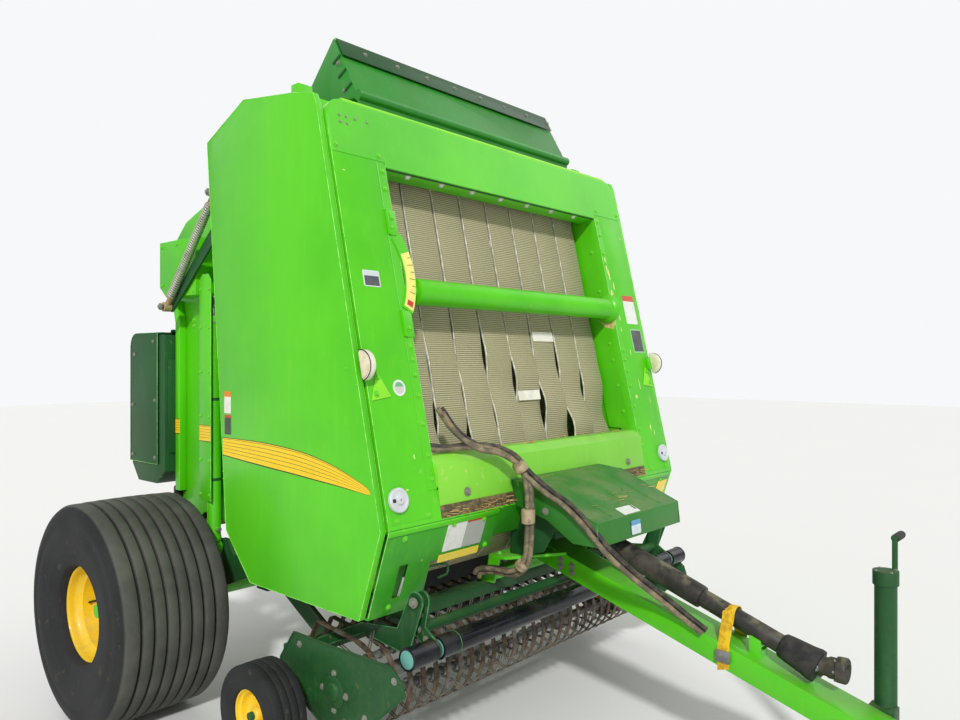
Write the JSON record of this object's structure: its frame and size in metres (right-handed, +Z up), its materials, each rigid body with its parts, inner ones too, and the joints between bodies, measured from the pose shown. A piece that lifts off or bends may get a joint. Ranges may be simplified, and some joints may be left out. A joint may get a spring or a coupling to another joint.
{
  "type": "round baler",
  "caption": "Towed round baler: belts behind an open front window, tined pickup with gauge wheels, lifting tailgate with net box, tongue, power shaft and parking jack.",
  "frame": {"origin": "centre of the machine's outline on the ground it stands on", "axes": "-Y is the front, where the tongue points; +X is the machine's left; +Z is up"},
  "size_m": [2.954, 4.2, 3.118],
  "materials": {
    "green_paint": "gloss paint, dusty, worn at edges",
    "dark_paint": "gloss paint in darker green, dusty",
    "yellow_paint": "gloss paint, soiled",
    "tyre_rubber": "dusty tread rubber",
    "belt_rubber": "textured belt rubber with cut pale edges",
    "bare_steel": "polished by crop, greasy",
    "dark_steel": "greasy dark steel",
    "rust_steel": "surface rust",
    "rod_chrome": "polished",
    "pale_plastic": "matt",
    "scale_yellow": "matt, sun-faded",
    "amber_lamp": "ribbed lens",
    "red_lamp": "ribbed lens",
    "hose_rubber": "sleeved hydraulic hose",
    "spring_steel": "zinc plated, weathered"
  },
  "bodies": {
    "root": {"axle": "green_paint", "main_frame": "green_paint", "tongue": "green_paint", "hitch_clevis": "dark_steel", "jack_sleeve": "dark_paint", "gearbox": "dark_steel", "gearbox_hood": "green_paint", "driveline": "dark_steel", "front_frame": "green_paint", "lower_fascia": "green_paint", "window_sill": "green_paint", "visor": "green_paint", "chamber_wall_right": "dark_paint", "chamber_wall_left": "dark_paint", "top_cover": "green_paint", "tension_tube": "green_paint", "bale_scale": "scale_yellow", "front_belts": "belt_rubber", "fixed_rolls": "bare_steel", "latch_discs": "pale_plastic", "marker_lamps": "amber_lamp", "hose_bundle": "hose_rubber", "springs": "spring_steel", "spring_levers": "dark_paint"},
    "rotor": {"feed_rotor": "bare_steel"},
    "jack": {"jack_leg": "bare_steel"},
    "shield_right": {"shield_right": "green_paint"},
    "shield_left": {"shield_left": "green_paint"},
    "gate": {"gate_frame": "green_paint", "gate_boxes": "green_paint", "gate_rolls": "bare_steel", "gate_belts": "belt_rubber", "net_box": "dark_paint", "tail_lamps": "red_lamp"},
    "lid": {"net_lid": "green_paint"},
    "barrel_right": {"barrel_right": "green_paint"},
    "barrel_left": {"barrel_left": "green_paint"},
    "rod_right": {"rod_right": "rod_chrome"},
    "rod_left": {"rod_left": "rod_chrome"},
    "wheel_right": {"tyre_right": "tyre_rubber", "rim_right": "yellow_paint"},
    "wheel_left": {"tyre_left": "tyre_rubber", "rim_left": "yellow_paint"},
    "pickup": {"pickup_frame": "dark_paint", "stripper_bands": "rust_steel"},
    "reel": {"pickup_reel": "bare_steel"},
    "gauge_right": {"gauge_right": "tyre_rubber"},
    "gauge_left": {"gauge_left": "tyre_rubber"},
    "windguard": {"windguard": "dark_paint"},
    "press_roller": {"press_roller": "bare_steel"}
  },
  "joints": [
    {"name": "wheel_right_spin", "type": "hinge", "parent": "root", "child": "wheel_right", "pos_m": [-1.212, 1.48, 0.515], "axis": [1, 0, 0], "continuous": true},
    {"name": "shield_right_swing", "type": "hinge", "parent": "root", "child": "shield_right", "pos_m": [-1.068, 0.799, 0.937], "axis": [0, -0.0887, -0.9961], "range_deg": [0, 75]},
    {"name": "wheel_left_spin", "type": "hinge", "parent": "root", "child": "wheel_left", "pos_m": [1.212, 1.48, 0.515], "axis": [1, 0, 0], "continuous": true},
    {"name": "shield_left_swing", "type": "hinge", "parent": "root", "child": "shield_left", "pos_m": [1.068, 0.799, 0.937], "axis": [0, 0.0887, 0.9961], "range_deg": [0, 75]},
    {"name": "gate_lift", "type": "hinge", "parent": "root", "child": "gate", "pos_m": [0, 0.86, 2.6], "axis": [1, 0, 0], "range_deg": [0, 65]},
    {"name": "lid_lift", "type": "hinge", "parent": "gate", "child": "lid", "pos_m": [0, 1.74, 1.854], "axis": [1, 0, 0], "range_deg": [0, 75]},
    {"name": "barrel_right_swing", "type": "hinge", "parent": "root", "child": "barrel_right", "pos_m": [-0.87, 1.28, 0.76], "axis": [1, 0, 0], "range_deg": [-9.48, 0.5]},
    {"name": "rod_right_slide", "type": "slide", "parent": "barrel_right", "child": "rod_right", "axis": [0, 0, 1], "range_m": [0, 0.7592]},
    {"name": "barrel_left_swing", "type": "hinge", "parent": "root", "child": "barrel_left", "pos_m": [0.87, 1.28, 0.76], "axis": [1, 0, 0], "range_deg": [-9.48, 0.5]},
    {"name": "rod_left_slide", "type": "slide", "parent": "barrel_left", "child": "rod_left", "axis": [0, 0, 1], "range_m": [0, 0.7592]},
    {"name": "jack_wind", "type": "slide", "parent": "root", "child": "jack", "axis": [0, 0, 1], "range_m": [-0.1, 0.28]},
    {"name": "rotor_spin", "type": "hinge", "parent": "root", "child": "rotor", "pos_m": [0, 0.38, 0.792], "axis": [1, 0, 0], "continuous": true},
    {"name": "pickup_lift", "type": "hinge", "parent": "root", "child": "pickup", "pos_m": [0, 0.73, 0.7], "axis": [1, 0, 0], "range_deg": [0, 18]},
    {"name": "reel_spin", "type": "hinge", "parent": "pickup", "child": "reel", "pos_m": [0, 0.08, 0.43], "axis": [1, 0, 0], "continuous": true},
    {"name": "gauge_right_spin", "type": "hinge", "parent": "pickup", "child": "gauge_right", "pos_m": [-1.218, 0.32, 0.335], "axis": [1, 0, 0], "continuous": true},
    {"name": "gauge_left_spin", "type": "hinge", "parent": "pickup", "child": "gauge_left", "pos_m": [1.218, 0.32, 0.335], "axis": [1, 0, 0], "continuous": true},
    {"name": "guard_lift", "type": "hinge", "parent": "pickup", "child": "windguard", "pos_m": [0, -0.22, 0.8], "axis": [1, 0, 0], "range_deg": [-15, 0]},
    {"name": "press_spin", "type": "hinge", "parent": "windguard", "child": "press_roller", "pos_m": [0, -0.282, 0.63], "axis": [1, 0, 0], "continuous": true}
  ],
  "couplings": [
    {"joint": "barrel_right_swing", "follows": "gate_lift", "ratio": -0.13823},
    {"joint": "rod_right_slide", "follows": "gate_lift", "m_per_rad": 0.66748},
    {"joint": "barrel_left_swing", "follows": "gate_lift", "ratio": -0.13823},
    {"joint": "rod_left_slide", "follows": "gate_lift", "m_per_rad": 0.66748}
  ]
}
